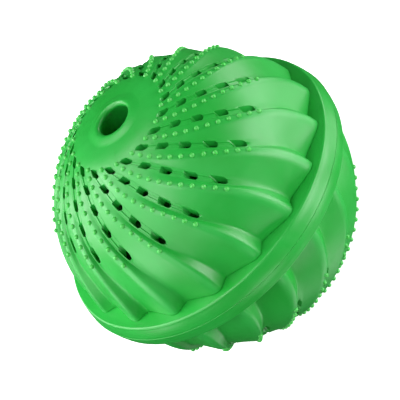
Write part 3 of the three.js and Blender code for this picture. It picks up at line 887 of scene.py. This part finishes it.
nub_polar = np.radians(rising(NUB_POLAR_RULE, np.arange(NUBS_ON_CREST)))
nub_radius, nub_height = crest_line(nub_polar)
nub_level = (nub_radius - NUB_SINK) * np.exp(1j * swirl_turn(nub_polar))
nub_points = np.stack([nub_level.real, nub_level.imag, nub_height], axis=1)
for name, side, body in (("upper_nubs", 1, "upper_half"), ("lower_nubs", -1, "lower_half")):
    nubs = new_piece(name, nub_points * (1, 1, side), [])
    run_tree(nubs, nub_tree, {"Copies": VANES, "Radius": NUB_RADIUS * MM, "Finish": nub_lit_green})
    settle(nubs, body)

# %% [markdown]
# ## The band
# The raised band hides the bayonet. Its face is slightly bowed, its rim is rounded where a hand
# grips it, and a flat ledge runs in under the ends of the vanes. The halves meet in a fine seam that
# catches the light, because a fine bead runs along the edge of the lower half. A profile turned about
# the axis gives each half, and lugs are added to it as ring sectors.

# %% Turning a profile
def turned(profile, segments):
    angle = np.arange(segments) * 2 * math.pi / segments
    profile = np.asarray(profile, dtype=float)
    radius, height = profile[:, 0], profile[:, 1]
    points = np.stack([
        np.outer(np.cos(angle), radius), np.outer(np.sin(angle), radius), np.tile(height, (segments, 1)),
    ], axis=2).reshape(-1, 3)
    count = len(profile)
    faces = []
    for segment in range(segments):
        this, following = segment * count, (segment + 1) % segments * count
        for place in range(count):
            after = (place + 1) % count
            faces.append([this + place, following + place, following + after, this + after])
    return points, faces


def sector(inner, outer, start, end, bottom, top, steps):
    points = []
    for angle in np.radians(np.linspace(start, end, steps)):
        for radius, height in ((inner, bottom), (outer, bottom), (outer, top), (inner, top)):
            points.append((radius * math.cos(angle), radius * math.sin(angle), height))
    faces = [[0, 1, 2, 3], [4 * steps - 4 + corner for corner in (3, 2, 1, 0)]]
    for step in range(steps - 1):
        this, following = 4 * step, 4 * step + 4
        for corner in range(4):
            after = (corner + 1) % 4
            faces.append([this + corner, this + after, following + after, following + corner])
    return np.array(points), faces


def join(shapes):
    points, faces = [], []
    for more_points, more_faces in shapes:
        first = len(points)
        points.extend(np.asarray(more_points).tolist())
        faces.extend([[first + corner for corner in face] for face in more_faces])
    return points, faces


def arc(centre, radius, start, end, steps):
    return [
        (centre[0] + radius * math.cos(angle), centre[1] + radius * math.sin(angle))
        for angle in np.radians(np.linspace(start, end, steps))
    ]


print("profile helpers ready")

# %% [markdown]
# Each half of the bayonet has four lugs. The collar's pass between those of the spigot when the band
# is turned to open, and catch under them when it is turned to lock, where a rib stops them.

# %% Band halves
BAND_SEGMENTS = 216
SEAM_RADIUS, RIM_RADIUS, RIM_ROUND = 55.06, 54.16, 0.8
FACE_BOW, FACE_FROM, FACE_POINTS = 0.6, 0.12, 7
LEDGE_HEIGHT, LEDGE_UNDERSIDE, LEDGE_BORE = 5.25, 3.45, 47.16
BAND_INNER = 52.16
SPIGOT_INNER, SPIGOT_OUTER, SPIGOT_TOP = 48.76, 50.26, 3.05
SEAM_GAP, SEAM_ROUND, SEAM_BEAD = 0.02, 0.06, 0.11
LUGS, LUG_STEPS, RIB_STEPS = 4, 14, 4
LUG_PITCH = 360 / LUGS
COLLAR_TIP, SPIGOT_TIP = 50.76, 51.66
COLLAR_SUNK, SPIGOT_SUNK = 1.0, 0.7
COLLAR_ROOT, SPIGOT_ROOT = BAND_INNER + COLLAR_SUNK, SPIGOT_OUTER - SPIGOT_SUNK
COLLAR_LUG_FROM, COLLAR_LUG_TO, COLLAR_LUG_BOTTOM, COLLAR_LUG_TOP = 33, 57, 0.45, 1.55
SPIGOT_LUG_FROM, SPIGOT_LUG_TO, SPIGOT_LUG_BOTTOM = -15, 12, 1.95
RIB_TO, RIB_BOTTOM, RIB_TOP = -13, 0.45, 2.5


def band_face(bead):
    low, high = SEAM_GAP / 2, LEDGE_HEIGHT - RIM_ROUND
    if bead:
        face = arc((SEAM_RADIUS, low + SEAM_BEAD), SEAM_BEAD, -90, 90, steps=7)
    else:
        face = arc((SEAM_RADIUS - SEAM_ROUND, low + SEAM_ROUND), SEAM_ROUND, -90, 0, steps=4)
    for share in np.linspace(FACE_FROM, 1, FACE_POINTS + 1)[:-1]:
        radius = SEAM_RADIUS + (RIM_RADIUS - SEAM_RADIUS) * share + FACE_BOW * share * (1 - share)
        face.append((radius, low + (high - low) * share))
    return face + arc((RIM_RADIUS - RIM_ROUND, high), RIM_ROUND, 0, 90, steps=9)


def down(profile):
    return [(radius, -height) for radius, height in profile][::-1]


upper_ring = turned(band_face(False) + [
    (LEDGE_BORE, LEDGE_HEIGHT), (LEDGE_BORE, LEDGE_UNDERSIDE),
    (BAND_INNER, LEDGE_UNDERSIDE), (BAND_INNER, SEAM_GAP / 2),
], BAND_SEGMENTS)
lower_ring = turned([(LEDGE_BORE, -LEDGE_HEIGHT)] + down(band_face(True)) + [
    (BAND_INNER, -SEAM_GAP / 2), (BAND_INNER, -LEDGE_UNDERSIDE), (SPIGOT_OUTER, -LEDGE_UNDERSIDE),
    (SPIGOT_OUTER, SPIGOT_TOP), (SPIGOT_INNER, SPIGOT_TOP), (SPIGOT_INNER, -LEDGE_UNDERSIDE),
    (LEDGE_BORE, -LEDGE_UNDERSIDE),
], BAND_SEGMENTS)
collar_lugs = []
spigot_lugs = []
for turn in LUG_PITCH * np.arange(LUGS):
    collar_lugs.append(sector(
        COLLAR_TIP, COLLAR_ROOT, turn + COLLAR_LUG_FROM, turn + COLLAR_LUG_TO,
        COLLAR_LUG_BOTTOM, COLLAR_LUG_TOP, LUG_STEPS,
    ))
    spigot_lugs.append(sector(
        SPIGOT_ROOT, SPIGOT_TIP, turn + SPIGOT_LUG_FROM, turn + SPIGOT_LUG_TO,
        SPIGOT_LUG_BOTTOM, SPIGOT_TOP, LUG_STEPS,
    ))
    spigot_lugs.append(sector(
        SPIGOT_ROOT, SPIGOT_TIP, turn + SPIGOT_LUG_FROM, turn + RIB_TO, RIB_BOTTOM, RIB_TOP, RIB_STEPS,
    ))
for name, shapes, body, node in (
    ("upper_band_ring", [upper_ring, *collar_lugs], "lock_collar", "upper_band"),
    ("lower_band_ring", [lower_ring, *spigot_lugs], "lower_half", "lower_band"),
):
    ring = new_piece(name, *join(shapes))
    outward(ring)
    ring.data.materials.append(band_green)
    settle(ring, body, [node])

# %% [markdown]
# ## The tube through the middle
# Water runs through a tube from pole to pole. At each pole it ends in a soft lip that swells out of
# the cap with no visible joint and rolls over into the bore. The upper tube drops into a socket of
# the lower one inside the ball, and a groove near each pole takes the magnet's clip.

# %% Core tubes
TUBE_SEGMENTS = 96
BORE, TUBE_OUTER, COLLAR_OUTER, COLLAR_UNDER = 7.0, 8.6, 10.2, 48.11
CLIP_GROOVE, CLIP_GROOVE_BOTTOM, CLIP_GROOVE_TOP = 8.0, 38.43, 40.23
SOCKET_INNER, SOCKET_OUTER, SOCKET_END = 9.1, 10.6, 6.0
SOCKET_CONE_TOP, SOCKET_CONE_BOTTOM = -7.5, -9.0
TUBE_END_CLEARANCE = 0.3
TUBE_END = TUBE_END_CLEARANCE - SOCKET_END
MOUTH, LIP_HEIGHT, LIP_ROUND, THROAT_ROUNDS = 6.0, 49.5, 1.4, 3
LIP_ROLL_FROM, LIP_ROLL_TO, LIP_ROLL_POINTS = 82, 205, 14
LIP_FADE, LIP_PROUD, LIP_TUCK, LIP_FADE_POINTS = 11.0, 0.01, 0.02, 14


def cap_height(radius):
    return POLE_HEIGHT * math.sqrt(1 - (radius / CREST_RADIUS) ** 2) - float(cap_drop(radius))


roll_centre = (MOUTH + LIP_ROUND, LIP_HEIGHT - LIP_ROUND)
roll = arc(roll_centre, LIP_ROUND, LIP_ROLL_FROM, LIP_ROLL_TO, LIP_ROLL_POINTS)
roll.append((BORE, LIP_HEIGHT - THROAT_ROUNDS * LIP_ROUND))
roll_radius, roll_height = roll[0]
swell = roll_height - cap_height(roll_radius) - LIP_PROUD
lip = [(LIP_FADE, cap_height(LIP_FADE) - LIP_TUCK)]
for share in np.linspace(1, 0, LIP_FADE_POINTS + 1)[:-1]:
    radius = roll_radius + (LIP_FADE - roll_radius) * float(share)
    lip.append((radius, cap_height(radius) + LIP_PROUD + swell * float(1 - smooth(share))))
lip += roll
throat = [
    (TUBE_OUTER, CLIP_GROOVE_BOTTOM), (CLIP_GROOVE, CLIP_GROOVE_BOTTOM), (CLIP_GROOVE, CLIP_GROOVE_TOP),
    (TUBE_OUTER, CLIP_GROOVE_TOP), (TUBE_OUTER, COLLAR_UNDER), (COLLAR_OUTER, COLLAR_UNDER),
    (COLLAR_OUTER, cap_height(COLLAR_OUTER) - LIP_TUCK),
]
upper_tube = turned([(BORE, TUBE_END), (TUBE_OUTER, TUBE_END)] + throat + lip, TUBE_SEGMENTS)
lower_tube = turned(down(throat + lip) + [
    (TUBE_OUTER, SOCKET_CONE_BOTTOM), (SOCKET_OUTER, SOCKET_CONE_TOP), (SOCKET_OUTER, SOCKET_END),
    (SOCKET_INNER, SOCKET_END), (SOCKET_INNER, -SOCKET_END), (BORE, -SOCKET_END),
], TUBE_SEGMENTS)
for name, shape, body, node in (
    ("upper_tube_and_lip", upper_tube, "upper_half", "upper_core_tube"),
    ("lower_tube_and_lip", lower_tube, "lower_half", "lower_core_tube"),
):
    tube = new_piece(name, *shape)
    outward(tube)
    tube.data.materials.append(tube_green)
    settle(tube, body, [node])

# %% [markdown]
# ## Magnets and clips
# The ferrite rings have a small chamfer from the press, and the clips are stamped from sheet, so
# their edges are slightly rolled. The magnet is a turned profile. The clip is open over fifty degrees,
# so it is a ring sector, and a bevel rolls its edges.

# %% Magnets and clips
MAGNET_BORE, MAGNET_OUTER, MAGNET_BOTTOM, MAGNET_TOP = 8.9, 14.0, 40.23, 45.23
CHAMFER = 0.4
MAGNET_SEGMENTS, MAGNET_CREASE = 72, 25
CLIP_INNER, CLIP_OUTER, CLIP_BOTTOM, CLIP_TOP = 8.3, 11.9, 38.73, 39.93
CLIP_FROM, CLIP_TO, CLIP_STEPS, CLIP_CREASE = 25, 335, 64, 60
CLIP_EDGE_ROLL, CLIP_EDGE_STEPS = 0.15, 2

magnet = [
    (MAGNET_BORE, MAGNET_BOTTOM), (MAGNET_OUTER - CHAMFER, MAGNET_BOTTOM),
    (MAGNET_OUTER, MAGNET_BOTTOM + CHAMFER), (MAGNET_OUTER, MAGNET_TOP - CHAMFER),
    (MAGNET_OUTER - CHAMFER, MAGNET_TOP), (MAGNET_BORE, MAGNET_TOP),
]
for side, body, half in ((1, "upper_half", "upper"), (-1, "lower_half", "lower")):
    points, faces = turned(magnet, MAGNET_SEGMENTS)
    ring = new_piece(half + "_ferrite_ring", points * (1, 1, side), faces)
    outward(ring)
    ring.data.materials.append(ferrite)
    settle(ring, body, [half + "_ring_magnet"], MAGNET_CREASE)
    points, faces = sector(CLIP_INNER, CLIP_OUTER, CLIP_FROM, CLIP_TO, CLIP_BOTTOM, CLIP_TOP, CLIP_STEPS)
    clip = new_piece(half + "_spring_clip", points * (1, 1, side), faces)
    outward(clip)
    clip.data.materials.append(spring_steel)
    rolled = clip.modifiers.new("rolled_edges", "BEVEL")
    rolled.width = CLIP_EDGE_ROLL * MM
    rolled.segments = CLIP_EDGE_STEPS
    rolled.limit_method = "ANGLE"
    settle(clip, body, [half + "_magnet_clip"], CLIP_CREASE)

# %% [markdown]
# ## The pellets
# The clay balls were rolled by machine and fired, so no two are quite round. A tree puts a fine ball
# on every centre and presses its skin in unevenly with noise. The centres are read from the solids'
# boxes, and there is one mesh for each clay body.

# %% Pellet tree
PELLET_FINENESS = 4
SKIN_SCALE, SKIN_DETAIL, SKIN_OUTERMOST = 260.0, 2.0, 0.72

pellet_tree, pellet_in, pellet_out = new_tree("clay_balls", [
    ("Radius", "NodeSocketFloat"), ("Unevenness", "NodeSocketFloat"), ("Finish", "NodeSocketMaterial"),
])
pellet_ball = add_node(pellet_tree, "GeometryNodeMeshIcoSphere")
pellet_ball.inputs["Subdivisions"].default_value = PELLET_FINENESS
pellet_tree.links.new(pellet_in.outputs["Radius"], pellet_ball.inputs["Radius"])
pellet_copies = add_node(pellet_tree, "GeometryNodeInstanceOnPoints")
pellet_tree.links.new(pellet_in.outputs["Mesh"], pellet_copies.inputs["Points"])
pellet_tree.links.new(pellet_ball.outputs["Mesh"], pellet_copies.inputs["Instance"])
pellet_real = add_node(pellet_tree, "GeometryNodeRealizeInstances")
pellet_tree.links.new(pellet_copies.outputs["Instances"], pellet_real.inputs[0])
skin = add_node(pellet_tree, "ShaderNodeTexNoise")
skin.inputs["Scale"].default_value = SKIN_SCALE
skin.inputs["Detail"].default_value = SKIN_DETAIL
centred = add_node(pellet_tree, "ShaderNodeMath", operation="SUBTRACT")
pellet_tree.links.new(skin.outputs["Fac"], centred.inputs[0])
centred.inputs[1].default_value = SKIN_OUTERMOST
depth = add_node(pellet_tree, "ShaderNodeMath", operation="MULTIPLY")
pellet_tree.links.new(centred.outputs[0], depth.inputs[0])
pellet_tree.links.new(pellet_in.outputs["Unevenness"], depth.inputs[1])
push = add_node(pellet_tree, "ShaderNodeVectorMath", operation="SCALE")
pellet_tree.links.new(add_node(pellet_tree, "GeometryNodeInputNormal").outputs[0], push.inputs[0])
pellet_tree.links.new(depth.outputs[0], push.inputs["Scale"])
shift = add_node(pellet_tree, "GeometryNodeSetPosition")
pellet_tree.links.new(pellet_real.outputs[0], shift.inputs["Geometry"])
pellet_tree.links.new(push.outputs[0], shift.inputs["Offset"])
close_tree(pellet_tree, shift.outputs[0], None, pellet_in.outputs["Finish"], pellet_out)
print("tree", pellet_tree.name, "with", len(pellet_tree.nodes), "nodes")

# %% [markdown]
# The four clays come in turn, so every fourth pellet of the record is of the same kind. The radius
# is that of the solids. The skin lies just under it, so the pellets stay clear of one another.

# %% Pellets of each clay
PELLETS, PELLET_RADIUS, PELLET_UNEVENNESS = 31, 4.0, 0.9

for kind, clay in enumerate(clays):
    numbers = [number for number in range(1, PELLETS + 1) if number % len(clays) == kind]
    names = [f"ceramic_pellet_{number:02d}" for number in numbers]
    corners = [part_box(name) for name in names]
    centres = [(np.array(low) + np.array(high)) / 2 / MM for low, high in corners]
    pellets = new_piece(clay + "_balls", centres, [])
    run_tree(pellets, pellet_tree, {
        "Radius": PELLET_RADIUS * MM, "Unevenness": PELLET_UNEVENNESS * MM, "Finish": clays[clay],
    })
    settle(pellets, "pellet_charge", names)

# %% [markdown]
# ## Light and floor
# The photograph has a pure white ground and broad, soft light. A white floor under strong lamps would
# still show a shadow, so the floor is a pale sheet that glows, like a light table. It is hidden from
# the rays that leave the ball, so the ball neither mirrors it nor is lit or shaded by it.

# %% Floor
FLOOR_REACH = 6.0
FLOOR_CLEARANCE = 0.05


def pale_floor(name):
    material, tree, shader, place = start_material(name)
    mottle = noise(tree, place, scale=3.0, detail=2.0)
    colour_by(tree, shader, mottle, first=(0.86, 0.86, 0.86), second=(0.9, 0.9, 0.9))
    shader.inputs["Roughness"].default_value = 0.9
    shader.inputs["Emission Color"].default_value = (1, 1, 1, 1)
    shader.inputs["Emission Strength"].default_value = 1.0
    return material


floor_height = -POLE_HEIGHT - FLOOR_CLEARANCE
reach = FLOOR_REACH / MM
corners = ((-reach, -reach), (reach, -reach), (reach, reach), (-reach, reach))
floor = new_piece("floor", [(*corner, floor_height) for corner in corners], [[0, 1, 2, 3]])
floor.data.materials.append(pale_floor("pale_floor"))
floor.visible_diffuse = False
floor.visible_glossy = False
floor.visible_shadow = False
print("floor at", round(floor_height, 2), "mm")

# %% [markdown]
# A studio lights so glossy a thing with big soft boxes. A picture of such a room could do the same
# here, but single round lamps are plainer: each answers for one bright patch on the ball, and its
# place and power can be changed by itself. Places are given as right, up and towards the camera,
# because that is how the patches are read from the picture. A faint white world fills the rest.

# %% Lamps
LAMP_SIZE = 0.55
WORLD_STRENGTH = 0.05
LAMPS = (
    ("left", (-1.0, 0.05, 0.1), 5.0),
    ("left_behind", (-0.9, -0.3, -0.3), 2.0),
    ("left_low", (-0.8, -0.45, 0.4), 1.6),
    ("left_front", (-0.6, -0.1, 0.8), 3.2),
    ("upper_left", (-0.75, 0.5, 0.4), 2.4),
    ("front", (0.1, 0.0, 1.0), 0.4),
    ("upper_right", (0.75, 0.65, 0.2), 3.6),
    ("right_behind", (0.8, 0.45, -0.35), 1.2),
    ("top_behind", (0.4, 0.9, -0.2), 2.4),
    ("right_front", (0.75, 0.3, 0.6), 4.2),
    ("right", (1.0, 0.0, 0.1), 2.8),
    ("low_right", (0.6, -0.8, 0.3), 1.7),
    ("low_left", (-0.65, -0.75, 0.0), 2.1),
    ("low_front", (-0.35, -0.7, 0.6), 1.2),
    ("behind_left", (-0.75, -0.15, -0.65), 1.4),
    ("behind_right", (0.7, -0.5, -0.5), 0.9),
)
for name, (right, up, near), power in LAMPS:
    lamp = bpy.data.objects.new(name, bpy.data.lights.new(name, "AREA"))
    lamp.data.shape = "DISK"
    lamp.data.size = LAMP_SIZE
    lamp.data.energy = power
    stand = camera_turn @ Vector((right, up, near))
    facing = stand.to_track_quat("Z", "Y").to_matrix().to_4x4()
    lamp.matrix_world = Matrix.Translation(stand) @ facing
    scene.collection.objects.link(lamp)
world = bpy.data.worlds.new("studio")
world.use_nodes = True
sky = world.node_tree.nodes["Background"]
sky.inputs["Color"].default_value = (1, 1, 1, 1)
sky.inputs["Strength"].default_value = WORLD_STRENGTH
scene.world = world
scene.view_settings.view_transform = "Standard"
print(len(LAMPS), "lamps")
